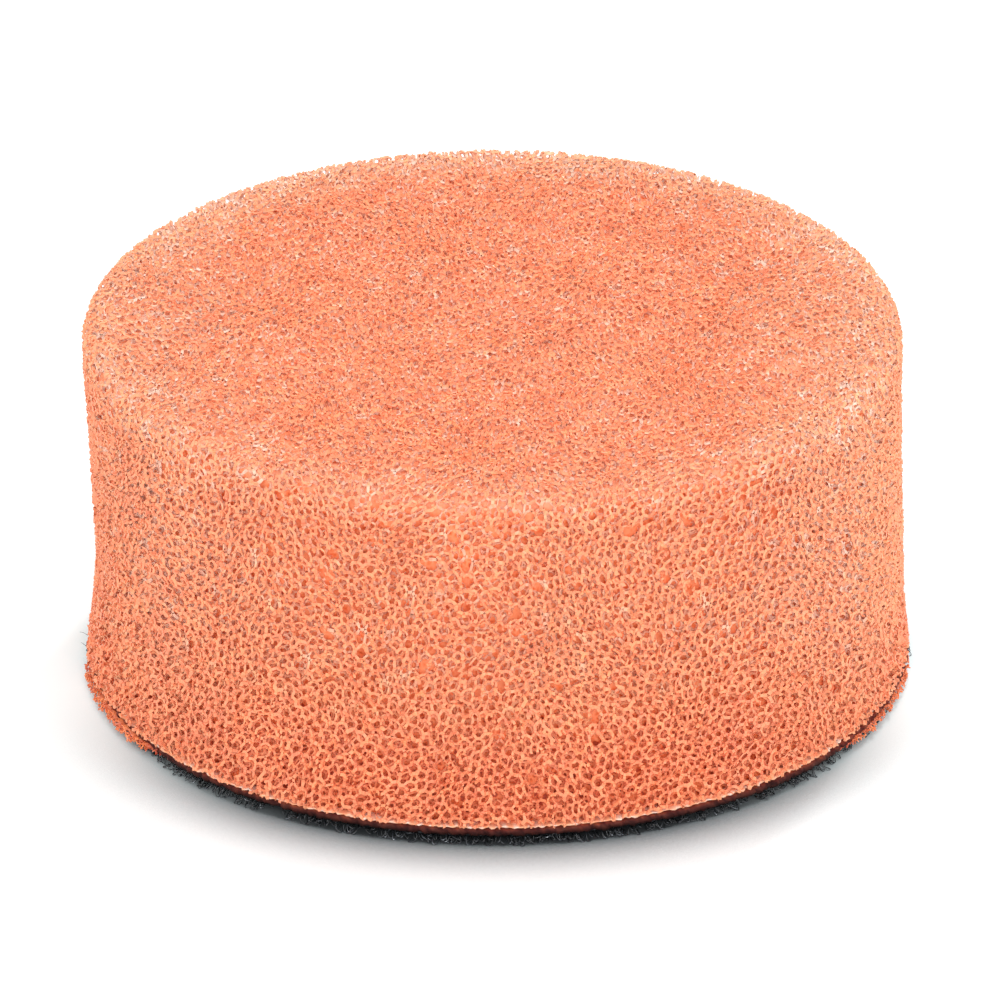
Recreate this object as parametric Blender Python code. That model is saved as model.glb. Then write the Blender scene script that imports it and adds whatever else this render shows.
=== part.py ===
"""Foam polishing pad with a hook-and-loop back: a turned foam block and the thin laminate under it.

The pad stands on its loop face, with its polishing face up. The origin is the centre of the loop face
and +Z is the pad's own axis. Units are metres. Run it with blender --background --python part.py.
"""

import math

import bmesh
import bpy

# Driving dimensions
FACE_RADIUS = 0.0380  # widest part of the polishing end, a 3 inch face
WAIST_RADIUS = 0.0372  # the wall is cut slightly hollow
FOOT_RADIUS = 0.0381  # the wall flares again where it meets the laminate
FOAM_HEIGHT = 0.03175  # 1 1/4 inch foam
FACE_EDGE_RADIUS = 0.0028  # soft rounding round the polishing face
FOOT_CHAMFER = 0.0003
WAIST_SHARE = 0.27  # the waist's height as a share of the foam's height
LAYER_GAP = 0.0003  # clearance that stands for each glued or fused joint

# The laminate, from the loop face up: thickness and radius of each layer
PILE_THICKNESS = 0.0005
PILE_RADIUS = 0.0370
GROUND_THICKNESS = 0.0002
GROUND_RADIUS = 0.0373
BACKING_THICKNESS = 0.0005
BACKING_RADIUS = 0.0379
BOND_THICKNESS = 0.00015
BOND_RADIUS = 0.0374

# Resolution
TURN_STEPS = 96
EDGE_STEPS = 7
WALL_STEPS = 10
SHARP_ANGLE = math.radians(50)

# Materials: linear colour, roughness
FOAM_FINISH = ((0.91, 0.30, 0.15), 0.75)
BACKING_FINISH = ((0.80, 0.20, 0.08), 0.80)
BOND_FINISH = ((0.10, 0.018, 0.012), 0.45)
GROUND_FINISH = ((0.035, 0.040, 0.046), 0.85)
PILE_FINISH = ((0.050, 0.056, 0.064), 0.35)


def clear_scene():
    """Removes every object, so that the model starts from nothing."""
    for item in list(bpy.data.objects):
        bpy.data.objects.remove(item, do_unlink=True)


def finish_material(name, finish):
    """A Principled material of one colour and roughness."""
    colour, roughness = finish
    material = bpy.data.materials.new(name)
    material.use_nodes = True
    shader = material.node_tree.nodes["Principled BSDF"]
    shader.inputs["Base Color"].default_value = (*colour, 1.0)
    shader.inputs["Roughness"].default_value = roughness
    shader.inputs["Metallic"].default_value = 0.0
    return material


def turned_solid(name, profile, finish, base_height, parent):
    """One closed solid, turned about Z from an outline of (radius, height) that starts and ends on the axis."""
    mesh_edit = bmesh.new()
    points = [mesh_edit.verts.new((radius, 0.0, height)) for radius, height in profile]
    edges = [mesh_edit.edges.new(pair) for pair in zip(points, points[1:])]
    bmesh.ops.spin(
        mesh_edit,
        geom=points + edges,
        cent=(0.0, 0.0, 0.0),
        axis=(0.0, 0.0, 1.0),
        angle=math.tau,
        steps=TURN_STEPS,
        use_merge=True,
    )
    bmesh.ops.remove_doubles(mesh_edit, verts=mesh_edit.verts, dist=1e-6)
    bmesh.ops.recalc_face_normals(mesh_edit, faces=mesh_edit.faces)
    mesh = bpy.data.meshes.new(name)
    mesh_edit.to_mesh(mesh)
    mesh_edit.free()
    mesh.shade_smooth()
    mesh.set_sharp_from_angle(angle=SHARP_ANGLE)
    mesh.materials.append(finish_material(name, finish))
    solid = bpy.data.objects.new(name, mesh)
    solid.location = (0.0, 0.0, base_height)
    solid.parent = parent
    bpy.context.scene.collection.objects.link(solid)
    return solid


def wall_radius(height):
    """Radius of the hollow foam wall: one parabola above the waist and one below it."""
    waist_height = WAIST_SHARE * FOAM_HEIGHT
    above = FOAM_HEIGHT - FACE_EDGE_RADIUS - waist_height
    if height > waist_height:
        rise = (height - waist_height) / above
        return WAIST_RADIUS + (FACE_RADIUS - WAIST_RADIUS) * rise**2
    drop = (waist_height - height) / waist_height
    return WAIST_RADIUS + (FOOT_RADIUS - WAIST_RADIUS) * drop**2


def foam_profile():
    """Outline of the foam, from the middle of the polishing face round to the middle of the glued face."""
    centre_radius = FACE_RADIUS - FACE_EDGE_RADIUS
    centre_height = FOAM_HEIGHT - FACE_EDGE_RADIUS
    outline = [(0.0, FOAM_HEIGHT)]
    for step in range(EDGE_STEPS + 1):
        turn = 0.5 * math.pi * step / EDGE_STEPS
        radius = centre_radius + FACE_EDGE_RADIUS * math.sin(turn)
        height = centre_height + FACE_EDGE_RADIUS * math.cos(turn)
        outline.append((radius, height))
    for step in range(1, WALL_STEPS + 1):
        height = centre_height + (FOOT_CHAMFER - centre_height) * step / WALL_STEPS
        outline.append((wall_radius(height), height))
    outline.append((wall_radius(0.0) - FOOT_CHAMFER, 0.0))
    outline.append((0.0, 0.0))
    return outline


def disc_profile(radius, thickness):
    """Outline of a plain layer, from the middle of its top to the middle of its underside."""
    return [(0.0, thickness), (radius, thickness), (radius, 0.0), (0.0, 0.0)]


def build_laminate(parent):
    """The layers under the foam, from the loop face up; returns the height that the foam starts at."""
    layers = (
        ("loop_pile", PILE_RADIUS, PILE_THICKNESS, PILE_FINISH),
        ("loop_ground", GROUND_RADIUS, GROUND_THICKNESS, GROUND_FINISH),
        ("backing_foam", BACKING_RADIUS, BACKING_THICKNESS, BACKING_FINISH),
        ("bond_layer", BOND_RADIUS, BOND_THICKNESS, BOND_FINISH),
    )
    height = 0.0
    for name, radius, thickness, finish in layers:
        turned_solid(name, disc_profile(radius, thickness), finish, height, parent)
        height += thickness + LAYER_GAP
    return height


def build_pad():
    """The whole pad, on an empty at the centre of its loop face."""
    clear_scene()
    pad_frame = bpy.data.objects.new("pad_frame", None)
    bpy.context.scene.collection.objects.link(pad_frame)
    foam_base = build_laminate(pad_frame)
    turned_solid("foam_body", foam_profile(), FOAM_FINISH, foam_base, pad_frame)


build_pad()
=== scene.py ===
"""Looks of the foam polishing pad: a real network of foam cells, a ragged laminate and its nylon loops.

Everything is in metres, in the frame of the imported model: the pad stands on z = 0 and +Z is its axis.
"""

import itertools
import math

import bpy
import numpy as np
from mathutils import Euler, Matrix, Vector, kdtree


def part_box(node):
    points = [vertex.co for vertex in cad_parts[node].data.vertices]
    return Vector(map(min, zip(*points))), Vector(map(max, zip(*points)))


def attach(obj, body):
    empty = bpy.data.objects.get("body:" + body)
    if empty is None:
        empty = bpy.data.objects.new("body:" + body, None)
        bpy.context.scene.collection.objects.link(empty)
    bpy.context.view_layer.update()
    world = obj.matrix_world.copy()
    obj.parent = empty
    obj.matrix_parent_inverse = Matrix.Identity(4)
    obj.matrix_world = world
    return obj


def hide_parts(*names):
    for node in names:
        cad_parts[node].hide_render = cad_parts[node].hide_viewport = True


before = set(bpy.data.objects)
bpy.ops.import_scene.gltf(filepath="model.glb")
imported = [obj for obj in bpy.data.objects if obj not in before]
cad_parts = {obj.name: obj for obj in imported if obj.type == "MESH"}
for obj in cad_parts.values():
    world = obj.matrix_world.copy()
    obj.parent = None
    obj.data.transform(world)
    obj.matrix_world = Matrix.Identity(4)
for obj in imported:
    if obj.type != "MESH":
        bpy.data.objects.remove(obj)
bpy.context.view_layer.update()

# Sizes read from the frame
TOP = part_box("foam_body")[1].z + 0.0004
FOOT_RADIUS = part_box("foam_body")[1].x - 0.0002
GROUND_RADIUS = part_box("loop_ground")[1].x

# Heights of the laminate and of the foam's underside, from the cloth up
GROUND_BASE = 0.00065
BACKING_BASE = 0.00085
BOND_BASE = 0.00145
SKIN_BASE = 0.00160
FOAM_BASE = 0.00165
CORE_BASE = 0.00178
TOUCH = 0.00002  # how far one layer reaches into the next, so that they really touch
BITE = 0.00005  # and how far the backing foam reaches into the glue

# The foam block's outline: radii of its parts, and how far each leans towards +X
FACE_RADIUS = FOOT_RADIUS - 0.00043
WAIST_RADIUS = FOOT_RADIUS - 0.00080
WAIST_HEIGHT = 0.0115
FACE_EDGE_RADIUS = 0.0023
FACE_LEAN = -0.00058
WAIST_LEAN = 0.00010
FOOT_LEAN = -0.00015

# The foam's cells
CELL_STEP = 0.00104  # edge of the cube that holds two cells
CELLS_ACROSS = 6  # steps along one side of the tile that repeats
CELL_SHAKE = 0.20  # how far each cell is moved off its place, in steps
RELAX_ROUNDS = 6
CELL_TALL = 1.15  # the foam rose as it set, so its cells are taller than wide
NEAR_CELLS = 26  # how many neighbours a cell is compared with
TILES_REACH = 0.058  # tiles are laid this far out from the origin
STRUT_SIZE = 0.000176  # from a strut's axis to its edges
FACE_SKIN = 0.00076  # how deep the modelled cells go: under the face, in the upper and in the lower wall
UPPER_SKIN = 0.00100
WALL_SKIN = 0.00112
SKIN_SLACK = 0.00008  # struts are kept this much deeper, so that they reach into the core
PIT_DEPTH = 0.00035
SECTORS = 16  # pieces that the outer cells are divided into, round the pad
DRIFT_LENGTH = 0.016  # the network drifts this slowly, so that its repeats don't line up
DRIFT_HEIGHT = 0.0004
HOLE_STEP = 0.00058  # from hole to hole in the core's colour
PAINTED_HOLE_SHADE = (0.3, 2.0)  # how much darker the painted shade makes them where the hole shade number is least and most

# Rings and steps round of the turned pieces
CORE_FACE_RINGS = 78
CORE_EDGE_RINGS = 8
CORE_WALL_RINGS = 66
CORE_UNDER_RINGS = 20
CORE_STEPS = 560
RIM_STEPS = 900
BACKING_STEPS = 720
CLOTH_STEPS = 420

# The laminate's edges
BACKING_RADIUS = 0.03710  # at the front and the back, where it lies in the groove
BACKING_PROUD = 0.00105  # how much further it reaches at the sides
BACKING_LEAN = -0.00020  # towards +X
BACKING_FRINGE = 0.00045  # how far the ragged cells reach past the plain middle
BACKING_STEP = 0.00066  # the same as CELL_STEP and STRUT_SIZE, for the finer backing foam
BACKING_STRUT = 0.000095
BACKING_HANG = 0.00028  # how far its cells hang down past the cloth at the sides
LIP_RADIUS = 0.03770  # the glue's rim, which hangs down over the laminate
LIP_BASE = 0.00072
SIDE_DROP = 0.00040  # how much lower the glue reaches at the sides, above the proud backing foam

# The loops
LOOP_PITCH = 0.00124
CURL_COUNT = 1150
FILAMENT_SIDES = 4
FIBRE_RADIUS = 0.000030

# Camera and light
VIEW_ELEVATION = math.radians(26.3)
VIEW_WIDTH = 0.0917  # what the picture spans at the pad
VIEW_TARGET = Vector((0.00015, 0.0, 0.0160))
VIEW_ROLL = math.radians(-0.3)
CAMERA_DISTANCE = 1.5
SENSOR_WIDTH = 36.0
WORLD_STRENGTH = 1.33
KEY_POWER = 2.2
KEY_PLACE = (0.25, 0.55, 0.9)
KEY_SIZE = 0.10
FILL_POWER = 2.7
FILL_PLACE = (0.12, -0.90, 0.40)
FILL_SIZE = 0.50
SHADOW_REACH = 0.0125  # the floor's painted shadow darkens it within this distance of the pad
SHADOW_START = -0.005  # and from this Y on, fully at the next one
SHADOW_FULL = -0.036

# Colours along ramps, as (place, linear colour). The foam's ramps run from thin or lit foam, painted pale
# as painted light, to deep holes, painted dark as painted shade; the backing's and the glue's from bare to
# dark, which is partly scorched and partly painted shade; the floor's from its painted shadow to white; and
# the rest from dark to light, the nylon's top stop being painted glints.
FOAM_STOPS = (
    (0.00, (0.88, 0.67, 0.55)),
    (0.25, (0.88, 0.51, 0.36)),
    (0.50, (0.89, 0.41, 0.22)),
    (0.75, (0.88, 0.33, 0.18)),
    (1.00, (0.90, 0.26, 0.11)),
)
CORE_STOPS = (
    (0.00, (0.90, 0.57, 0.41)),
    (0.25, (0.91, 0.41, 0.24)),
    (0.50, (0.92, 0.30, 0.13)),
    (0.75, (0.84, 0.17, 0.04)),
    (1.00, (0.42, 0.05, 0.012)),
)
BOND_STOPS = (
    (0.0, (0.160, 0.022, 0.011)),
    (0.4, (0.070, 0.012, 0.008)),
    (1.0, (0.025, 0.009, 0.008)),
)
BACKING_STOPS = (
    (0.0, (0.97, 0.50, 0.33)),
    (0.3, (0.92, 0.27, 0.11)),
    (0.6, (0.60, 0.09, 0.035)),
    (1.0, (0.16, 0.02, 0.012)),
)
# the nylon's ramp: its near-white top stop is painted glints on the crests of a few filaments
NYLON_STOPS = (
    (0.00, (0.004, 0.005, 0.006)),
    (0.70, (0.030, 0.034, 0.040)),
    (0.94, (0.12, 0.135, 0.15)),
    (1.00, (0.80, 0.84, 0.88)),
)
GROUND_STOPS = (
    (0.0, (0.010, 0.012, 0.015)),
    (0.6, (0.030, 0.033, 0.038)),
    (1.0, (0.055, 0.060, 0.068)),
)
# the floor's painted contact shadow, darkest where the pad is closest, tinted against the foam's orange
# bounce light
FLOOR_SHADOW_STOPS = (
    (0.50, (0.045, 0.05, 0.053)),
    (0.64, (0.29, 0.33, 0.345)),
    (0.80, (0.66, 0.75, 0.77)),
    (0.94, (0.90, 0.97, 0.98)),
)
FLOOR_WHITE = (0.86, 0.96, 0.97, 1.0)

BAKE_MAP = "OFBake"  # the name of the UV map that pieces are given for their colours


# ---------- small tools


def drift_field(seed, wavelength, height, waves=24):
    """A smooth random vector field: a sum of plane waves about one wavelength long."""
    draw = np.random.default_rng(seed)
    aim = draw.normal(size=(waves, 3))
    aim /= np.linalg.norm(aim, axis=1)[:, None]
    aim *= (math.tau / wavelength * draw.uniform(0.6, 1.4, waves))[:, None]
    phase = draw.uniform(0.0, math.tau, waves)
    push = draw.normal(size=(waves, 3)) * height * math.sqrt(2.0 / waves)

    def field(points):
        return np.sin(points @ aim.T + phase) @ push

    return field


def ragged(seed, angle, longest, shortest, height):
    """A random edge line round the pad: a sum of whole-numbered waves. Lengths are measured at the rim."""
    draw = np.random.default_rng(seed)
    girth = math.tau * FOOT_RADIUS
    counts = np.arange(int(girth / longest), int(girth / shortest) + 1)
    counts = draw.choice(counts, min(len(counts), 40), replace=False)
    phase = draw.uniform(0.0, math.tau, len(counts))
    table = np.linspace(-math.pi, 3.0 * math.pi, 16384)
    waves = np.sin(np.multiply.outer(table, counts) + phase).sum(-1)
    return np.interp(angle, table, waves * height * math.sqrt(2.0 / len(counts)))


def smooth_step(value, low, high):
    """0 at low, 1 at high, and an S-curve between. It works both ways: low may be the greater number."""
    share = np.clip((value - low) / (high - low), 0.0, 1.0)
    return share * share * (3.0 - 2.0 * share)


def around(steps):
    """Evenly spaced angles, once round the pad."""
    return np.arange(steps) * math.tau / steps


def polar(points):
    """How far each point is from the pad's axis, and its angle round it."""
    return np.hypot(points[:, 0], points[:, 1]), np.arctan2(points[:, 1], points[:, 0])


def mesh_object(name, points, corners, starts):
    """An object from flat arrays: the points, every face's corners in a row, and where each face starts."""
    mesh = bpy.data.meshes.new(name)
    mesh.vertices.add(len(points))
    mesh.vertices.foreach_set("co", np.ascontiguousarray(points, np.float32).ravel())
    mesh.loops.add(len(corners))
    mesh.loops.foreach_set("vertex_index", corners.astype(np.int32))
    mesh.polygons.add(len(starts))
    mesh.polygons.foreach_set("loop_start", starts.astype(np.int32))
    mesh.update(calc_edges=True)
    mesh.validate()
    mesh.shade_smooth()
    piece = bpy.data.objects.new(name, mesh)
    bpy.context.scene.collection.objects.link(piece)
    return piece


def joined_faces(quads, triangles):
    """Quads and triangles as one row of corners, with each face's start."""
    corners = np.concatenate([quads.ravel(), triangles.ravel()])
    quad_starts = np.arange(len(quads)) * 4
    triangle_starts = len(quads) * 4 + np.arange(len(triangles)) * 3
    return corners, np.concatenate([quad_starts, triangle_starts])


def turned_grid(name, radius, height):
    """A closed piece turned about Z. Radius and height have a row for each ring, from the middle of the top
    round to the middle of the underside, and a column for each step round."""
    rings, steps = radius.shape
    angle = around(steps)
    points = np.stack([radius * np.cos(angle), radius * np.sin(angle), height], -1).reshape(-1, 3)
    poles = [[0.0, 0.0, height[0].mean()], [0.0, 0.0, height[-1].mean()]]
    ids = np.arange(rings * steps).reshape(rings, steps)
    following = np.roll(ids, -1, axis=1)
    quads = np.stack([ids[:-1], ids[1:], following[1:], following[:-1]], -1).reshape(-1, 4)
    top, under = np.full(steps, rings * steps), np.full(steps, rings * steps + 1)
    caps = [np.stack([top, ids[0], following[0]], -1), np.stack([under, following[-1], ids[-1]], -1)]
    return mesh_object(name, np.vstack([points, poles]), *joined_faces(quads, np.concatenate(caps)))


def place_of(piece):
    """Every point of a piece."""
    points = np.empty(len(piece.data.vertices) * 3, np.float32)
    piece.data.vertices.foreach_get("co", points)
    return points.reshape(-1, 3).astype(float)


def move_points(piece, points):
    """Moves every point of a piece to a new place."""
    piece.data.vertices.foreach_set("co", points.astype(np.float32).ravel())
    piece.data.update()


def point_values(piece, name, values):
    """Stores one number at each point of a piece, for its material."""
    layer = piece.data.attributes.new(name, "FLOAT", "POINT")
    layer.data.foreach_set("value", np.ascontiguousarray(values, np.float32))


def bake_map(piece, across, up):
    """A UV map from one pair of numbers at each point."""
    mesh = piece.data
    corner_points = np.empty(len(mesh.loops), np.int32)
    mesh.loops.foreach_get("vertex_index", corner_points)
    pairs = np.stack([across[corner_points], up[corner_points]], axis=1)
    layer = mesh.uv_layers.new(name=BAKE_MAP)
    layer.data.foreach_set("uv", pairs.astype(np.float32).ravel())


def paint(piece, depth, tone, material):
    """Gives a piece its material, and the two numbers at each point that its colour is made from."""
    depth, tone = np.clip(depth, 0.0, 1.0), np.clip(tone, 0.0, 1.0)
    point_values(piece, "depth", depth)
    point_values(piece, "tone", tone)
    bake_map(piece, 0.02 + 0.96 * depth, 0.02 + 0.96 * tone)
    piece.data.materials.append(material)


def deliver(piece, slot, *nodes, parent=None):
    """Hides the model's parts that a piece stands in for, and puts it on the pad's one body or under its
    parent piece. The slot it is given is not used.
    """
    if nodes:
        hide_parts(*nodes)
    if parent is None:
        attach(piece, "root")
    else:
        piece.parent = parent


# ---------- the foam's outer shape


def wall_radius(height, angle):
    """Radius of the foam's wall: hollow at the waist, and leaning as the cutter left it."""
    above = np.clip((height - WAIST_HEIGHT) / (TOP - FACE_EDGE_RADIUS - WAIST_HEIGHT), 0, 1.2) ** 2
    below = np.clip((WAIST_HEIGHT - height) / (WAIST_HEIGHT - FOAM_BASE), 0, 1.2) ** 2
    mean = WAIST_RADIUS + (FACE_RADIUS - WAIST_RADIUS) * above + (FOOT_RADIUS - WAIST_RADIUS) * below
    lean = np.interp(height, [FOAM_BASE, WAIST_HEIGHT, TOP], [FOOT_LEAN, WAIST_LEAN, FACE_LEAN])
    return mean + lean * np.cos(angle)


def outer_depth(points):
    """How far each point lies below the foam's cut surface, which leaves out the glued side."""
    across, angle = polar(points)
    beyond = across - (wall_radius(points[:, 2], angle) - FACE_EDGE_RADIUS)
    over = points[:, 2] - (TOP - FACE_EDGE_RADIUS)
    corner = np.hypot(np.maximum(beyond, 0), np.maximum(over, 0))
    return FACE_EDGE_RADIUS - corner - np.minimum(np.maximum(beyond, over), 0)


def skin_depth(height):
    """How thick the layer of modelled cells is: more in the wall, and most in its lower part."""
    upper = smooth_step(height, TOP - FACE_EDGE_RADIUS, TOP - 0.0050)
    lower = smooth_step(height, TOP - 0.0060, TOP - 0.0200)
    return FACE_SKIN + (UPPER_SKIN - FACE_SKIN) * upper + (WALL_SKIN - UPPER_SKIN) * lower


# ---------- the network of cells


def foam_tile(per_side, shake, seed):
    """A random foam that fills a cube one unit wide and repeats in all directions.

    Its cells are the Voronoi cells of shaken points. A corner is where four cells meet, and a strut is
    where three do. Returns the cell centres, the corners' places, the way from each corner to its four
    cells, and for each strut its two corners, the tile step to the second, and the three cells round it."""
    draw = np.random.default_rng(seed)
    grid = np.stack(np.meshgrid(*[np.arange(per_side)] * 3, indexing="ij"), -1).reshape(-1, 3)
    cells = np.concatenate([grid, grid + 0.5]) / per_side
    cells += draw.normal(0.0, shake / per_side, cells.shape)
    shifts = np.array(list(itertools.product((-1, 0, 1), repeat=3)))
    images = (cells[None] + shifts[:, None]).reshape(-1, 3)
    triples = np.array(list(itertools.combinations(range(NEAR_CELLS), 3)))
    corners, members = [], {}
    for own, place in enumerate(cells):
        away = images - place
        order = np.argsort((away**2).sum(1))[1 : 3 * NEAR_CELLS]
        away, seeds, steps = away[order], order % len(cells), shifts[order // len(cells)]
        chosen = triples[(seeds[triples] > own).all(1)]
        a, b, c = (away[chosen[:, k]] for k in range(3))
        volume = (a * np.cross(b, c)).sum(1)
        volume = np.where(np.abs(volume) < 1e-12, 1e-12, volume)
        squares = [(side**2).sum(1)[:, None] for side in (a, b, c)]
        centre = squares[0] * np.cross(b, c) + squares[1] * np.cross(c, a) + squares[2] * np.cross(a, b)
        centre /= 2 * volume[:, None]
        clear = ((away**2).sum(1)[None] - 2 * centre @ away.T).min(1) > -1e-9
        for row in np.flatnonzero(clear):
            group = sorted((int(seeds[k]), tuple(int(n) for n in steps[k])) for k in chosen[row])
            group = ((own, (0, 0, 0)), *group)
            members.setdefault(group, len(corners))
            if members[group] == len(corners):
                corners.append(place + centre[row])
    corners = np.array(corners)
    to_cell = np.array([[cells[c] + np.array(step) for c, step in group] for group in members])
    sides = {}
    struts = []
    for corner, group in enumerate(members):
        for left_out in range(4):
            slots = [k for k in range(4) if k != left_out]
            slots.sort(key=lambda k: group[k])
            base = np.array(group[slots[0]][1])
            key = tuple((group[k][0], tuple(int(n) for n in np.array(group[k][1]) - base)) for k in slots)
            if key not in sides:
                sides[key] = (corner, base, slots)
                continue
            other, other_base, other_slots = sides[key]
            step = base - other_base
            along = corners[other] + step - corners[corner]
            one, two, three = (to_cell[corner, k] for k in slots)
            if np.cross(two - one, three - one) @ along < 0:
                slots = [slots[0], slots[2], slots[1]]
                other_slots = [other_slots[0], other_slots[2], other_slots[1]]
            struts.append((corner, other, *step, *slots, *other_slots))
    return cells, corners, to_cell, np.array(struts)


def relaxed(corners, struts, rounds):
    """The corners of a tile, each drawn towards the middle of its neighbours, as surface tension does."""
    corners = corners.copy()
    first, second, step = struts[:, 0], struts[:, 1], struts[:, 2:5]
    for _ in range(rounds):
        along = corners[second] + step - corners[first]
        pull = np.zeros_like(corners)
        np.add.at(pull, first, along)
        np.add.at(pull, second, -along)
        corners += 0.35 * pull / 4
    return corners


def foam_network(tile, size, turn, wanted, seed, strut_size):
    """The struts of a foam made of repeats of a tile, turned and drifted, where wanted() is true.

    Returns the corner places, each strut's two corners, four points round each corner, each strut's three
    points at either end, and the cells' middles. A strut is the prism between the points of the three
    cells that it borders, so struts join at their corners without a seam."""
    cells, corners, to_cell, struts = tile
    rotation = np.diag((1.0, 1.0, CELL_TALL)) @ np.array(Euler(turn).to_matrix())
    warp = drift_field(seed, DRIFT_LENGTH, DRIFT_HEIGHT)
    reach = int(math.ceil(TILES_REACH / size))
    tiles = np.stack(np.meshgrid(*[np.arange(-reach, reach + 1)] * 3, indexing="ij"), -1).reshape(-1, 3)
    tiles = tiles[wanted((tiles + 0.5) * size @ rotation.T, 0.9 * size + 2 * DRIFT_HEIGHT)]
    index = np.full([2 * reach + 3] * 3, -1)
    index[tuple((tiles + reach).T)] = np.arange(len(tiles))

    def placed(spots):
        places = ((tiles[:, None] + spots[None]) * size).reshape(-1, 3) @ rotation.T
        return places + warp(places)

    places = placed(corners)
    keep = wanted(places, 1.2 * size / math.cbrt(len(cells) / 2))
    number = np.where(keep, np.cumsum(keep) - 1, -1).reshape(len(tiles), len(corners))
    places = places[keep]
    middles = placed(cells)
    middles = middles[wanted(middles, 0.0005)]

    draw = np.random.default_rng(seed)
    pull = (to_cell - corners[:, None]) @ rotation.T
    pull /= np.linalg.norm(pull, axis=2)[..., None]
    kind = np.tile(np.arange(len(corners)), len(tiles))[keep]
    sizes = strut_size * draw.uniform(0.85, 1.2, len(places))
    points = (places[:, None] + pull[kind] * sizes[:, None, None]).reshape(-1, 3)

    beyond = index[tuple(np.moveaxis(tiles[:, None] + struts[None, :, 2:5] + reach, -1, 0))]
    first = number[:, struts[:, 0]]
    second = np.where(beyond >= 0, number[beyond, struts[None, :, 1]], -1)
    present = (first >= 0) & (second >= 0)
    slots = np.broadcast_to(struts[None, :, 5:11], (*present.shape, 6))[present]
    strut_corners = np.stack([first[present], second[present]], 1)
    ends = strut_corners[:, :, None] * 4 + slots.reshape(-1, 2, 3)
    return places, strut_corners, points, ends, middles


def prism(first, second):
    """The three sides of each prism between two triangles, facing out."""
    sides = [
        np.stack([first[:, i], first[:, (i + 1) % 3], second[:, (i + 1) % 3], second[:, i]], 1)
        for i in range(3)
    ]
    return np.concatenate(sides)


def strut_piece(name, network, depth, chosen, shell):
    """One closed mesh of the chosen struts that start less than shell below the surface.

    Struts that cross the surface are cut off there."""
    places, strut_corners, points, ends = network[:4]
    at = depth[strut_corners]
    inside = at > 0
    near = inside & (at < np.broadcast_to(shell, depth.shape)[strut_corners])
    whole = chosen & inside.all(1) & near.any(1)
    cut = chosen & (inside.sum(1) == 1) & near.any(1)
    used = np.zeros(len(places), bool)
    used[strut_corners[whole].ravel()] = True
    used[strut_corners[cut][inside[cut]]] = True
    quads = [prism(ends[whole, 0], ends[whole, 1])]

    outward = inside[cut, 0]
    inner = np.where(outward[:, None], ends[cut, 0], ends[cut, 1])
    outer = np.where(outward[:, None], ends[cut, 1], ends[cut, 0])
    inner_at = np.where(outward, at[cut, 0], at[cut, 1])
    outer_at = np.where(outward, at[cut, 1], at[cut, 0])
    share = inner_at / (inner_at - outer_at)
    tips = points[inner] + (points[outer] - points[inner]) * share[:, None, None]
    tip_ids = len(points) + np.arange(tips.shape[0] * 3).reshape(-1, 3)
    flipped = ~outward[:, None]
    quads.append(prism(np.where(flipped, tip_ids, inner), np.where(flipped, inner, tip_ids)))
    triangles = [np.where(flipped, tip_ids[:, ::-1], tip_ids)]

    absent = ~(whole | cut)
    for end in (0, 1):
        open_end = (absent | (cut & ~inside[:, end])) & used[strut_corners[:, end]]
        caps = ends[open_end, end]
        triangles.append(caps if end == 0 else caps[:, ::-1])

    quads, triangles = np.concatenate(quads), np.concatenate(triangles)
    everything = np.concatenate([points, tips.reshape(-1, 3)])
    kept, renamed = np.unique(np.concatenate([quads.ravel(), triangles.ravel()]), return_inverse=True)
    faces = renamed[: quads.size].reshape(-1, 4), renamed[quads.size :].reshape(-1, 3)
    piece = mesh_object(name, everything[kept], *joined_faces(*faces))
    piece.data.shade_flat()  # struts are three-sided, with sharp edges
    return piece


# ---------- materials


def new_material(name, roughness):
    """A Principled material and its shader, nodes and links."""
    material = bpy.data.materials.new(name)
    material.use_nodes = True
    tree = material.node_tree
    shader = tree.nodes["Principled BSDF"]
    shader.inputs["Roughness"].default_value = roughness
    return material, shader, tree.nodes, tree.links


def number_of(nodes, name):
    """The socket that reads one number stored at the points of a piece."""
    node = nodes.new("ShaderNodeAttribute")
    node.attribute_name = name
    return node.outputs["Fac"]


def ramp_of(nodes, links, source, stops):
    """A socket whose colour follows a number, through stops of (place, colour)."""
    ramp = nodes.new("ShaderNodeValToRGB")
    ramp.color_ramp.interpolation = "LINEAR"
    marks = ramp.color_ramp.elements
    while len(marks) < len(stops):
        marks.new(0.5)
    for mark, (place, colour) in zip(marks, stops):
        mark.position = place
        mark.color = (*colour, 1.0)
    links.new(source, ramp.inputs["Fac"])
    return ramp.outputs["Color"]


def spread_of(nodes, links, source, low, high):
    """A socket that runs from low to high as its source runs from 0 to 1."""
    spread = nodes.new("ShaderNodeMapRange")
    spread.inputs["To Min"].default_value = low
    spread.inputs["To Max"].default_value = high
    links.new(source, spread.inputs["Value"])
    return spread.outputs["Result"]


def toned_material(name, stops, roughness, specular, brightness, hues, gloss):
    """A material whose colour follows the depth number, and whose brightness, hue and roughness follow the
    tone. Brightness, hues and gloss each hold the values at tone 0 and at tone 1."""
    material, shader, nodes, links = new_material(name, roughness)
    tone = number_of(nodes, "tone")
    tint = nodes.new("ShaderNodeHueSaturation")
    links.new(ramp_of(nodes, links, number_of(nodes, "depth"), stops), tint.inputs["Color"])
    links.new(spread_of(nodes, links, tone, *brightness), tint.inputs["Value"])
    links.new(spread_of(nodes, links, tone, *hues), tint.inputs["Hue"])
    links.new(tint.outputs["Color"], shader.inputs["Base Color"])
    links.new(spread_of(nodes, links, tone, *gloss), shader.inputs["Roughness"])
    shader.inputs["Specular IOR Level"].default_value = specular
    return material


def foam_material():
    """Polyurethane struts: painted pale where they catch the light, orange further in, darker in the deep
    cells as painted shade, and slightly glossy.
    """
    brightness, hues, gloss = (0.90, 1.05), (0.495, 0.505), (0.46, 0.22)
    return toned_material("foam_struts", FOAM_STOPS, 0.3, 0.27, brightness, hues, gloss)


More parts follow.
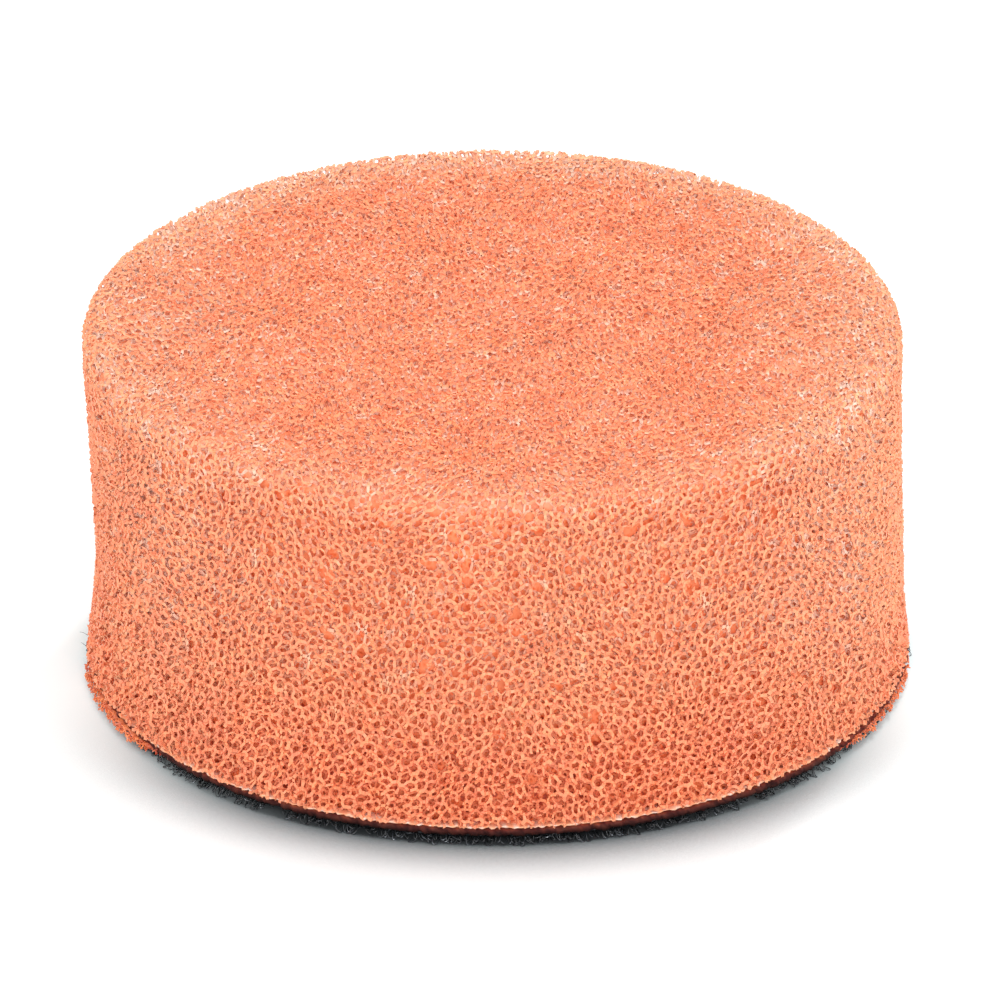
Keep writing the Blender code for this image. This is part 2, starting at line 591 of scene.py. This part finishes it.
def core_material():
    """The cells behind the struts: orange ridges round holes painted darker towards their middles, as
    painted shade in the hollows, and more so where the hole shade number is high.
    """
    material, shader, nodes, links = new_material("foam_depths", 0.6)
    cells = nodes.new("ShaderNodeTexVoronoi")
    cells.feature = "DISTANCE_TO_EDGE"
    cells.inputs["Scale"].default_value = 1.0 / HOLE_STEP
    links.new(nodes.new("ShaderNodeTexCoord").outputs["Object"], cells.inputs["Vector"])
    darker = nodes.new("ShaderNodeMath")
    darker.operation = "MULTIPLY_ADD"
    links.new(cells.outputs["Distance"], darker.inputs[0])
    links.new(spread_of(nodes, links, number_of(nodes, "hole_shade"), *PAINTED_HOLE_SHADE), darker.inputs[1])
    links.new(number_of(nodes, "depth"), darker.inputs[2])
    links.new(ramp_of(nodes, links, darker.outputs[0], CORE_STOPS), shader.inputs["Base Color"])
    return material


def bond_material():
    """Glue and foam skin, melted together: dark maroon with redder and browner patches, painted darker
    towards its lower edge as painted shade.
    """
    brightness, hues, gloss = (0.3, 1.6), (0.49, 0.51), (0.75, 0.40)
    return toned_material("melted_glue", BOND_STOPS, 0.6, 0.15, brightness, hues, gloss)


def backing_material():
    """The thin foam of the laminate, scorched towards its glued side and painted darker there as painted
    shade.
    """
    brightness, hues, gloss = (0.75, 1.10), (0.49, 0.51), (0.45, 0.20)
    return toned_material("backing_struts", BACKING_STOPS, 0.35, 0.5, brightness, hues, gloss)


def nylon_material():
    """Charcoal nylon filament, glossy enough to glint, with painted glints from the top of its colour ramp.
    """
    brightness, hues, gloss = (0.7, 1.4), (0.48, 0.52), (0.28, 0.06)
    return toned_material("nylon_filament", NYLON_STOPS, 0.22, 0.9, brightness, hues, gloss)


def ground_material():
    """Knitted ground cloth: rows of charcoal stitches."""
    material, shader, nodes, links = new_material("ground_knit", 0.85)
    place = nodes.new("ShaderNodeTexCoord").outputs["Object"]
    heights = []
    for direction, scale in (("X", 420.0), ("Y", 560.0)):
        wave = nodes.new("ShaderNodeTexWave")
        wave.bands_direction = direction
        wave.inputs["Scale"].default_value = scale
        wave.inputs["Distortion"].default_value = 1.2
        wave.inputs["Detail"].default_value = 1.0
        links.new(place, wave.inputs["Vector"])
        heights.append(wave.outputs["Fac"])
    both = nodes.new("ShaderNodeMath")
    both.operation = "MULTIPLY"
    links.new(heights[0], both.inputs[0])
    links.new(heights[1], both.inputs[1])
    bump = nodes.new("ShaderNodeBump")
    bump.inputs["Strength"].default_value = 0.6
    bump.inputs["Distance"].default_value = 0.0001
    links.new(both.outputs[0], bump.inputs["Height"])
    links.new(bump.outputs["Normal"], shader.inputs["Normal"])
    links.new(ramp_of(nodes, links, both.outputs[0], GROUND_STOPS), shader.inputs["Base Color"])
    return material


# ---------- the foam block


def near_shell(places, slack):
    """Cell centres close enough to the cut surface to hold a strut of the shell."""
    depth = outer_depth(places)
    shallow = depth < skin_depth(places[:, 2]) + slack
    return (depth > -slack) & shallow & (places[:, 2] > FOAM_BASE - slack)


def foam_tone(points):
    """How light each place of the foam is: blotches, and single cells."""
    broad = drift_field(31, 0.012, 0.05)(points)[:, 0]
    fine = drift_field(32, 0.0014, 0.16)(points)[:, 0]
    return 0.5 + broad + fine


def lowness(height):
    """0 on the upper wall and the face, 1 at the foot, where the core's pits are dented deeper and the foam
    is painted darker, as painted shade.
    """
    return smooth_step(height, 0.018, 0.004)


def sideways(points):
    """0 at the middle of the front and the back, 1 at the pad's left and right."""
    return smooth_step(np.abs(points[:, 0]), 0.016, 0.036)


def painted_hole_shade(points):
    """How much painted shade darkens the holes and the inner struts: most at the foot, and less at the left
    and right.
    """
    return lowness(points[:, 2]) * (1.0 - 0.5 * sideways(points))


def painted_glow(points):
    """How much paler the foam is painted, as painted light where light comes through the thin foam or falls
    on it: round the edge of the face, most at the back, along the foot, and on the left and right of the
    wall, more on the right."""
    out = smooth_step(polar(points)[0], FACE_RADIUS - 0.0090, FACE_RADIUS - 0.0010)
    rim = out * smooth_step(points[:, 2], TOP - 0.0044, TOP - 0.0008)
    back = rim * smooth_step(points[:, 1], 0.004, 0.030)
    foot = smooth_step(points[:, 2], FOAM_BASE + 0.00045, FOAM_BASE + 0.00010)
    above_foot = smooth_step(points[:, 2], 0.001, 0.010)
    right = smooth_step(points[:, 0], 0.018, 0.038) * above_foot
    left = smooth_step(-points[:, 0], 0.018, 0.038) * above_foot
    return np.clip(0.40 * rim + 0.8 * foot + 0.80 * right + 0.40 * left, 0.0, 1.0) + 1.4 * back


def outer_network(tile):
    """The network of the foam's outer cells."""
    return foam_network(tile, CELL_STEP * CELLS_ACROSS, (0.5, 0.9, 0.3), near_shell, 11, STRUT_SIZE)


def foam_cells(network, core, material):
    """The foam's outer cells, as sectors of one network, parented to the core."""
    places, strut_corners = network[:2]
    wall_depth = outer_depth(places)
    base_depth = places[:, 2] - FOAM_BASE
    depth = np.where(base_depth > 0, wall_depth, np.minimum(wall_depth, base_depth))
    skin = skin_depth(places[:, 2]) + SKIN_SLACK
    middle = places[strut_corners].mean(1)
    turn = polar(middle)[1] / math.tau + 0.5
    sector = np.minimum(np.floor(turn * SECTORS).astype(int), SECTORS - 1)
    for number in range(SECTORS):
        piece = strut_piece(f"foam_cells_{number + 1:02d}", network, depth, sector == number, skin)
        points = place_of(piece)
        glow_share = painted_glow(points)
        edge = smooth_step(polar(points)[0], FACE_RADIUS - 0.0034, FACE_RADIUS - 0.0012)
        wall = np.maximum(edge, smooth_step(points[:, 2], TOP - 0.0006, TOP - 0.0040))
        # places on the colour ramp, at the surface and deep in the cells: painted light makes the inner
        # struts paler on the face than on the wall, and all of them paler where the glow is painted;
        # painted shade makes the inner struts darker towards the foot, less so at the left and right
        outer = 0.90 - 0.04 * wall - 0.22 * glow_share
        inner = 0.12 + 0.18 * wall + 0.56 * painted_hole_shade(points) - 0.25 * glow_share - 0.14 * sideways(points)
        below = smooth_step(outer_depth(points) / skin_depth(points[:, 2]), 0.0, 0.6)
        paint(piece, outer + (inner - outer) * below, foam_tone(points), material)
        deliver(piece, "polishing_foam", parent=core)


def core_outline(angle):
    """Radius and height of the core's rings, from the middle of its top to the middle of its underside."""
    corner = FACE_EDGE_RADIUS - FACE_SKIN
    top = TOP - FACE_SKIN
    inset = wall_radius(np.full_like(angle, TOP - FACE_EDGE_RADIUS), angle) - FACE_EDGE_RADIUS
    rings = [(inset * share, top) for share in np.linspace(0.004, 1.0, CORE_FACE_RINGS)]
    for turn in np.linspace(0.0, math.pi / 2, CORE_EDGE_RINGS)[1:]:
        rings.append((inset + corner * math.sin(turn), top - corner * (1 - math.cos(turn))))
    for height in np.linspace(top - corner, CORE_BASE + 0.0002, CORE_WALL_RINGS)[1:]:
        rings.append((wall_radius(height, angle) - skin_depth(height), height))
    foot = wall_radius(CORE_BASE, angle) - WALL_SKIN - 0.0002
    rings += [(foot * share, CORE_BASE) for share in np.linspace(1.0, 0.004, CORE_UNDER_RINGS)]
    return np.stack([np.broadcast_arrays(*ring) for ring in rings], axis=1)


def unroll(piece, radius, height):
    """A bake map of a turned piece: its wall and underside are spread out round its top."""
    steps = radius.shape[1]
    travel = np.hypot(np.diff(radius[:, 0]), np.diff(height[:, 0]))
    travel = np.concatenate([[radius[0, 0]], travel]).cumsum()
    angle = around(steps)
    reach = 0.49 * travel / travel[-1]
    across = np.append(np.outer(reach, np.cos(angle)), (0.0, 0.0)) + 0.5
    up = np.append(np.outer(reach, np.sin(angle)), (0.0, 0.0)) + 0.5
    bake_map(piece, across, up)
    layer = piece.data.uv_layers[BAKE_MAP]
    pairs = np.empty(len(layer.data) * 2, np.float32)
    layer.data.foreach_get("uv", pairs)
    pairs = pairs.reshape(-1, 2)
    under = pairs[-3 * steps :].reshape(-1, 3, 2)
    under[:, 0] = 0.5 + 1.005 * (under[:, 1:].mean(1) - 0.5)
    layer.data.foreach_set("uv", pairs.ravel())


def pitted_core(middles, material):
    """The closed block behind the outer cells, dented where each cell of the network lies."""
    radius, height = core_outline(around(CORE_STEPS))
    core = turned_grid("foam_core", radius, height)
    points = place_of(core)
    tree = kdtree.KDTree(len(middles))
    for index, place in enumerate(middles):
        tree.insert(place, index)
    tree.balance()
    wall = np.empty(len(points))
    for index, place in enumerate(points):
        nearest = tree.find_n(place, 2)
        wall[index] = nearest[1][2] - nearest[0][2]
    pit = smooth_step(wall, 0.00002, 0.00045) * (0.4 + 0.6 * lowness(points[:, 2]))
    normals = np.empty(len(points) * 3, np.float32)
    core.data.vertices.foreach_get("normal", normals)
    inward = -normals.reshape(-1, 3)
    open_side = points[:, 2] > CORE_BASE + 0.0001
    moved = points + inward * (pit * PIT_DEPTH * open_side)[:, None]
    move_points(core, moved)
    # painted light and shade: the core is painted paler under the face and where the glow is painted,
    # darker towards the foot, and its holes get more painted shade towards the foot and in random patches
    patches = drift_field(41, 0.0030, 0.16)(points)[:, 0]
    face = smooth_step(points[:, 2], TOP - FACE_SKIN - 0.0012, TOP - FACE_SKIN - 0.0004)
    depth = 0.47 + 0.05 * lowness(points[:, 2]) - 0.08 * painted_glow(points) - 0.20 * face
    point_values(core, "depth", np.clip(depth, 0.0, 1.0))
    point_values(core, "hole_shade", np.clip(0.26 + 0.60 * painted_hole_shade(points) + patches, 0, 1))
    unroll(core, radius, height)
    core.data.materials.append(material)
    deliver(core, "polishing_foam", "foam_body")
    return core


def foot_skin(core, material):
    """The foam's glued face, melted to a thin skin whose ragged edge shows round the foot, painted pale
    there as a painted highlight where the edge catches the light.
    """
    angle = around(RIM_STEPS)
    rim = wall_radius(FOAM_BASE, angle) - 0.00018 - 0.00030 * side_share(angle)
    rim = rim + ragged(57, angle, 0.006, 0.0006, 0.00010)
    low = SKIN_BASE + ragged(58, angle, 0.006, 0.0006, 0.00003)
    high = CORE_BASE + ragged(59, angle, 0.006, 0.0006, 0.00003)
    middle = (SKIN_BASE, CORE_BASE)
    piece = layer_disc("foam_skin", rim, low, high, 8, drift_field(60, 0.0006, 0.00002), middle)
    points = place_of(piece)
    # painted highlight: the skin's pale place on the ramp stands in for the light that its edge catches
    share = 0.35 + drift_field(55, 0.0007, 0.24)(points)[:, 0]
    paint(piece, share, foam_tone(points) + drift_field(45, 0.0005, 0.20)(points)[:, 0], material)
    deliver(piece, "polishing_foam", parent=core)


# ---------- the laminate under the foam


def side_share(angle):
    """1 just before the pad's left and right, where the backing foam stands proud, and 0 elsewhere."""
    return smooth_step(np.abs(np.cos(angle)), 0.78, 0.88) * smooth_step(-np.sin(angle), -0.04, 0.12)


def rounded_rim(rim, low, high, steps=5):
    """Radius and height of the rings round a layer's edge, from its top down to its underside."""
    half = (high - low) / 2
    turns = np.linspace(math.pi / 2, -math.pi / 2, steps)
    return [(rim - half * (1 - math.cos(turn)), low + half * (1 + math.sin(turn))) for turn in turns]


def layer_disc(name, rim, low, high, rings, relief, middle=None, turn_down=0.0006):
    """A thin closed disc. Rim, low and high have a value for each step round. Its middle can lie at another
    low and high, which turn into the rim's over the turn_down inside it. Relief moves the surfaces."""
    edge = rounded_rim(rim, low, high)
    inner = edge[0][0].min() - 0.0001
    middle_low, middle_high = middle or (low, high)
    shares = 1.0 - np.linspace(0.998, 0.0, rings) ** 1.8

    def ring(share, middle_level, rim_level):
        blend = smooth_step(inner * share, inner - turn_down, inner)
        return np.full_like(rim, inner * share), middle_level + (rim_level - middle_level) * blend

    outline = [ring(share, middle_high, high) for share in shares] + edge
    outline += [ring(share, middle_low, low) for share in shares[::-1]]
    piece = turned_grid(name, *np.stack(outline, axis=1))
    points = place_of(piece)
    move_points(piece, points + relief(points))
    return piece


def bond_layer(material):
    """The melted glue between the foams, whose rim hangs over the laminate at the front and the back."""
    angle = around(RIM_STEPS)
    side = side_share(angle)
    rim = LIP_RADIUS - 0.00012 * side + ragged(51, angle, 0.012, 0.0007, 0.00006)
    low = LIP_BASE + (BOND_BASE - SIDE_DROP - LIP_BASE) * side + ragged(52, angle, 0.010, 0.0006, 0.00005)
    high = np.full_like(angle, SKIN_BASE + TOUCH)
    relief = drift_field(53, 0.0007, 0.00005)
    middle = (BOND_BASE, SKIN_BASE)
    piece = layer_disc("bond_line", rim, low, high, 22, relief, middle, 0.0008)
    points = place_of(piece)
    aside = side_share(polar(points)[1])
    # painted shade: the glue is painted darker towards its lower edge under the foam, less so at the left
    # and right, where the light falls
    lower = smooth_step(points[:, 2], FOAM_BASE, LIP_BASE + 0.0001) * (1.0 - 0.7 * aside)
    tone = 0.5 + drift_field(54, 0.0016, 0.15)(points)[:, 0] + drift_field(56, 0.0005, 0.18)(points)[:, 0]
    paint(piece, lower, tone, material)
    deliver(piece, "glue_line", "bond_layer")
    return piece


def backing_rim_line(angle):
    """The ragged outline of the backing foam, which stands proud at the pad's left and right."""
    proud = BACKING_PROUD * side_share(angle) + BACKING_LEAN * np.cos(angle)
    return BACKING_RADIUS + proud + ragged(63, angle, 0.008, 0.0009, 0.00010)


def backing_scorch_and_shade(points):
    """How dark the backing foam is painted: scorched by the glue and in painted shade in the groove under
    the glue and further in, darker as painted shade at the front and the back, and bare at the sides' tips,
    where the light falls.
    """
    across, angle = polar(points)
    groove = smooth_step(points[:, 2], BACKING_BASE + 0.00040, BOND_BASE)
    inner = smooth_step(across, 0.0378, 0.0368)
    return 0.36 + 0.40 * groove + 0.25 * inner + 0.50 * (1 - side_share(angle))


def backing_foam(tile, material):
    """The laminate's thin foam: a plain closed middle and a ragged rim of real cells."""
    angle = around(BACKING_STEPS)
    inner_rim = backing_rim_line(angle) - BACKING_FRINGE + ragged(66, angle, 0.003, 0.0006, 0.00012)
    low = np.full_like(angle, BACKING_BASE)
    high = BOND_BASE + BITE - SIDE_DROP * side_share(angle)
    relief = drift_field(61, 0.0008, 0.00005)
    middle = (BACKING_BASE, BOND_BASE + BITE)
    inner = layer_disc("backing_sheet", inner_rim, low, high, 22, relief, middle)
    points = place_of(inner)
    paint(inner, backing_scorch_and_shade(points), 0.5 + drift_field(62, 0.001, 0.2)(points)[:, 0], material)
    deliver(inner, "backing_foam", "backing_foam")

    def rim_depth(places):
        across, angle = polar(places)
        beyond_cloth = smooth_step(across, GROUND_RADIUS, GROUND_RADIUS + 0.0003)
        top = BOND_BASE + 0.00008 - SIDE_DROP * side_share(angle)
        bottom = BACKING_BASE - BACKING_HANG * side_share(angle) * beyond_cloth
        rim = backing_rim_line(angle)
        return np.minimum(rim - across, np.minimum(places[:, 2] - bottom, top - places[:, 2]))

    def near_rim(places, slack):
        return (rim_depth(places) > -slack) & (polar(places)[0] > BACKING_RADIUS - 0.0008 - slack)

    network = foam_network(tile, BACKING_STEP * CELLS_ACROSS, (1.1, 0.2, 0.7), near_rim, 64, BACKING_STRUT)
    corners = network[0]
    depth = rim_depth(corners)
    across, angle = polar(corners)
    depth = np.where(across > backing_rim_line(angle) - 0.0010, depth, -1.0)
    everything = np.ones(len(network[1]), bool)
    rim = strut_piece("backing_rim", network, depth, everything, 0.01)
    points = place_of(rim)
    paint(rim, backing_scorch_and_shade(points), 0.5 + drift_field(65, 0.0011, 0.2)(points)[:, 0], material)
    deliver(rim, "backing_foam", parent=inner)


def ground_cloth(material):
    """The knitted cloth that carries the loops, stretched flat on the backing foam."""
    angle = around(CLOTH_STEPS)
    rim = GROUND_RADIUS - 0.0001 + ragged(71, angle, 0.012, 0.0008, 0.00008)
    low = np.full_like(angle, GROUND_BASE)
    high = np.full_like(angle, BACKING_BASE + TOUCH)
    cloth = layer_disc("ground_cloth", rim, low, high, 46, drift_field(72, 0.0011, 0.00002))
    points = place_of(cloth)
    half_width = GROUND_RADIUS * 1.05
    under = points[:, 2] < (GROUND_BASE + BACKING_BASE) / 2
    across = 0.25 + 0.5 * under + points[:, 0] / half_width / 4.2
    bake_map(cloth, across, 0.5 + points[:, 1] / half_width / 2.1)
    cloth.data.materials.append(material)
    deliver(cloth, "ground_cloth", "loop_ground")


# ---------- nylon loops and stray fibres


def filaments(name, paths, radii, seed, material):
    """One mesh of closed thin tubes. Each path is a row of points; radii has one value for each point.

    Each filament has its own tone, and is painted lighter at the middle of its arch as a painted highlight,
    with near-white crests on a few as painted glints."""
    count, steps = paths.shape[:2]
    ahead = np.gradient(paths, axis=1)
    ahead /= np.linalg.norm(ahead, axis=2)[..., None]
    chord = paths[:, -1] - paths[:, 0] + np.array([1e-6, 0.0, 0.0])
    bow = paths[:, steps // 2] - paths[:, 0]
    plane = np.cross(chord, bow)
    plane /= np.maximum(np.linalg.norm(plane, axis=1), 1e-12)[:, None]
    side = np.cross(ahead, np.cross(plane[:, None], ahead))
    side /= np.maximum(np.linalg.norm(side, axis=2), 1e-12)[..., None]
    up = np.cross(ahead, side)
    turn = around(FILAMENT_SIDES)
    spokes = side[:, :, None] * np.cos(turn)[:, None] + up[:, :, None] * np.sin(turn)[:, None]
    points = paths[:, :, None] + spokes * radii[:, :, None, None]
    ids = np.arange(count * steps * FILAMENT_SIDES).reshape(count, steps, FILAMENT_SIDES)
    turned = np.roll(ids, -1, axis=2)
    quads = np.stack([ids[:, :-1], turned[:, :-1], turned[:, 1:], ids[:, 1:]], -1).reshape(-1, 4)
    caps = []
    for k in range(1, FILAMENT_SIDES - 1):
        caps.append(np.stack([ids[:, 0, 0], ids[:, 0, k + 1], ids[:, 0, k]], -1))
        caps.append(np.stack([ids[:, -1, 0], ids[:, -1, k], ids[:, -1, k + 1]], -1))
    piece = mesh_object(name, points.reshape(-1, 3), *joined_faces(quads, np.concatenate(caps)))
    draw = np.random.default_rng(seed)
    each = np.repeat(draw.uniform(0.0, 1.0, count), steps * FILAMENT_SIDES)
    along = np.tile(np.repeat(np.linspace(0.0, 1.0, steps), FILAMENT_SIDES), count)
    arch = np.sin(along * math.pi)
    # painted highlight: each filament is painted lighter at the middle of its arch, and the few with the
    # highest number get near-white crests as painted glints
    paint(piece, each * (0.55 + 0.45 * arch**4), 0.35 + 0.4 * arch + 0.25 * each, material)
    return piece


def loop_pile(material):
    """The field of loops under the pad: each is an arch that leaves the cloth and comes back to it."""
    draw = np.random.default_rng(81)
    reach = int(GROUND_RADIUS / LOOP_PITCH)
    spots = np.stack(np.meshgrid(*[np.arange(-reach, reach + 1)] * 2), -1).reshape(-1, 2) * LOOP_PITCH
    spots = spots + draw.uniform(-0.45, 0.45, spots.shape) * LOOP_PITCH
    spots = spots[np.hypot(*spots.T) < GROUND_RADIUS - 0.0006]
    count = len(spots)
    heading = draw.uniform(0.0, math.tau, count)
    ahead = np.stack([np.cos(heading), np.sin(heading), 0 * heading], 1)
    aside = np.stack([-np.sin(heading), np.cos(heading), 0 * heading], 1)
    width = draw.uniform(0.00035, 0.00085, count)
    drop = draw.uniform(0.00045, 0.00068, count)
    lean = draw.normal(0.0, 0.0003, count)
    twist = draw.normal(0.0, 0.00022, count)
    turn = np.linspace(0.0, math.pi, 9)
    roots = np.column_stack([spots, np.full(count, GROUND_BASE + 0.00005)])
    bow = np.sin(turn) ** 0.8
    paths = (
        roots[:, None]
        - ahead[:, None] * (width[:, None] * np.cos(turn) * (0.6 + 0.4 * bow))[..., None]
        + aside[:, None] * (lean[:, None] * bow + twist[:, None] * np.sin(2 * turn))[..., None]
    )
    paths[:, :, 2] -= drop[:, None] * bow
    radii = np.repeat(draw.uniform(0.000026, 0.000040, count)[:, None], len(turn), 1)
    paths[:, :, 2] = np.maximum(paths[:, :, 2], radii + 0.00001)
    pile = filaments("nylon_loops", paths, radii, 82, material)
    deliver(pile, "nylon_loops", "loop_pile")
    return pile


def rim_curls(pile, material):
    """Loops at the cut edge, pulled out into loose curls."""
    draw = np.random.default_rng(83)
    count = CURL_COUNT
    angle = np.sort(draw.uniform(0.0, math.tau, count))
    out = np.stack([np.cos(angle), np.sin(angle), 0 * angle], 1)
    along = np.stack([-np.sin(angle), np.cos(angle), 0 * angle], 1)
    turn = np.linspace(0.0, 1.0, 13)
    reach = (0.00035 + 0.00065 * draw.uniform(0.0, 1.0, count) ** 2.0) * (1.0 - 0.8 * side_share(angle))
    sweep = draw.uniform(0.0003, 0.0009, count) * draw.choice([-1.0, 1.0], count)
    drop = draw.uniform(0.0003, 0.0008, count)
    curl = draw.uniform(0.6, 1.5, count)
    start = draw.uniform(0.0367, 0.0373, count)
    bow = np.sin(turn * math.pi)
    swing = 0.5 - 0.5 * np.cos(curl[:, None] * math.pi * turn)
    paths = out[:, None] * (start[:, None] + reach[:, None] * bow)[..., None]
    paths = paths + along[:, None] * (sweep[:, None] * swing)[..., None]
    lift = draw.uniform(-0.2, 0.25, count)
    level = GROUND_BASE - drop[:, None] * np.sin(turn * math.pi * 0.8) + 0.0012 * lift[:, None] * bow
    radii = np.repeat(draw.uniform(0.000028, 0.000045, count)[:, None], len(turn), 1)
    paths[:, :, 2] = np.maximum(level, radii + 0.00001)
    curls = filaments("rim_curls", paths, radii, 84, material)
    deliver(curls, "nylon_loops", parent=pile)


def stray_fibres(pile, material):
    """A few fine fibres that stick out of the pad's edge, and a short one on the foam's wall."""
    # angle and height of each root, and how far the fibre runs outwards, round the pad and upwards
    rows = (
        (3.13, 0.0021, 0.0007, 0.0003, 0.0005),
        (-3.11, 0.0018, 0.0005, -0.0002, 0.0003),
        (-2.88, 0.0010, 0.0012, 0.0004, 0.0003),
        (-2.84, 0.0008, 0.0013, -0.0004, 0.0001),
        (-0.52, 0.0009, 0.0009, 0.0004, 0.0001),
        (-0.45, 0.0008, 0.0010, -0.0003, 0.0003),
        (-0.69, 0.0007, 0.0012, 0.0005, -0.0002),
        (-1.99, 0.0204, 0.0000, 0.0003, -0.0004),
    )
    turn = np.linspace(0.0, 1.0, 9)
    paths = []
    for angle, height, outwards, along, upwards in rows:
        radius = float(wall_radius(height, angle)) if height > FOAM_BASE else GROUND_RADIUS
        out = np.array([math.cos(angle), math.sin(angle), 0.0])
        round_pad = np.array([-math.sin(angle), math.cos(angle), 0.0])
        steps = out * (radius + outwards * turn)[:, None] + round_pad * (along * turn**2)[:, None]
        steps[:, 2] = height + upwards * turn * (1.4 - 0.4 * turn)
        paths.append(steps)
    paths = np.stack(paths)
    radii = np.repeat(((1.0 - 0.6 * turn) * FIBRE_RADIUS)[None], len(rows), 0)
    fibres = filaments("stray_fibres", paths, radii, 86, material)
    deliver(fibres, "nylon_loops", parent=pile)


# ---------- stage, light and camera


def build_floor():
    """A plain white floor that the pad stands on. In front of the pad a painted shadow darkens it where the
    pad is close, from ambient occlusion.
    """
    ring = np.full((2, 64), 3.0)
    level = np.zeros((2, 64))
    level[1] = -0.01
    floor = turned_grid("floor", ring, level)
    material, shader, nodes, links = new_material("white_floor", 0.9)
    contact_shadow = nodes.new("ShaderNodeAmbientOcclusion")
    contact_shadow.samples = 8
    contact_shadow.inputs["Distance"].default_value = SHADOW_REACH
    shade = ramp_of(nodes, links, contact_shadow.outputs["AO"], FLOOR_SHADOW_STOPS)
    parts = nodes.new("ShaderNodeSeparateXYZ")
    links.new(nodes.new("ShaderNodeTexCoord").outputs["Object"], parts.inputs[0])
    ahead = nodes.new("ShaderNodeMapRange")
    ahead.interpolation_type = "SMOOTHSTEP"
    ahead.inputs["From Min"].default_value = SHADOW_START
    ahead.inputs["From Max"].default_value = SHADOW_FULL
    links.new(parts.outputs["Y"], ahead.inputs["Value"])
    mixed = nodes.new("ShaderNodeMix")
    mixed.data_type = "RGBA"
    links.new(ahead.outputs["Result"], mixed.inputs["Factor"])
    mixed.inputs["A"].default_value = FLOOR_WHITE
    links.new(shade, mixed.inputs["B"])
    links.new(mixed.outputs["Result"], shader.inputs["Base Color"])
    shader.inputs["Specular IOR Level"].default_value = 0.0
    floor.data.materials.append(material)
    floor.data.shade_flat()


def area_light(name, place, size, power, aim):
    """A round soft box at a place, turned to what it lights."""
    lamp = bpy.data.lights.new(name, "AREA")
    lamp.shape = "DISK"
    lamp.size = size
    lamp.energy = power
    light = bpy.data.objects.new(name, lamp)
    light.location = place
    light.rotation_euler = (Vector(place) - aim).to_track_quat("Z", "Y").to_euler()
    bpy.context.scene.collection.objects.link(light)


def build_light():
    """A white room, a small soft box over the back of the pad and a wide one in front of it."""
    world = bpy.data.worlds.new("white_room")
    world.use_nodes = True
    background = world.node_tree.nodes["Background"]
    background.inputs["Color"].default_value = (1.0, 1.0, 1.0, 1.0)
    background.inputs["Strength"].default_value = WORLD_STRENGTH
    bpy.context.scene.world = world
    middle = Vector((0.0, 0.0, 0.02))
    area_light("key", KEY_PLACE, KEY_SIZE, KEY_POWER, middle)
    area_light("fill", FILL_PLACE, FILL_SIZE, FILL_POWER, middle)


def build_camera():
    """A view from the front and 26 degrees up, through a long lens."""
    camera_data = bpy.data.cameras.new("view")
    camera_data.sensor_width = SENSOR_WIDTH
    camera_data.lens = SENSOR_WIDTH * CAMERA_DISTANCE / VIEW_WIDTH
    camera_data.clip_start = 0.01
    camera_data.clip_end = 20.0
    camera = bpy.data.objects.new("view", camera_data)
    back = Vector((0.0, -math.cos(VIEW_ELEVATION), math.sin(VIEW_ELEVATION)))
    camera.location = VIEW_TARGET + back * CAMERA_DISTANCE
    upright = back.to_track_quat("Z", "Y").to_matrix()
    roll = Euler((0.0, 0.0, VIEW_ROLL)).to_matrix()
    camera.rotation_euler = (upright @ roll).to_euler()
    bpy.context.scene.collection.objects.link(camera)
    bpy.context.scene.camera = camera


def set_view():
    """Plain colours, and enough bounces for light to fill the foam."""
    scene = bpy.context.scene
    scene.view_settings.view_transform = "Standard"
    scene.cycles.max_bounces = 10
    scene.cycles.diffuse_bounces = 8


# ---------- the whole picture


def build_pad():
    """The pad, from its foam down to its loops."""
    cells, corners, to_cell, struts = foam_tile(CELLS_ACROSS, CELL_SHAKE, 5)
    tile = cells, relaxed(corners, struts, RELAX_ROUNDS), to_cell, struts
    network = outer_network(tile)
    core = pitted_core(network[4], core_material())
    foam = foam_material()
    foam_cells(network, core, foam)
    foot_skin(core, foam)
    bond_layer(bond_material())
    backing_foam(tile, backing_material())
    ground_cloth(ground_material())
    nylon = nylon_material()
    pile = loop_pile(nylon)
    rim_curls(pile, nylon)
    stray_fibres(pile, nylon)


build_camera()
build_floor()
build_light()
set_view()
build_pad()
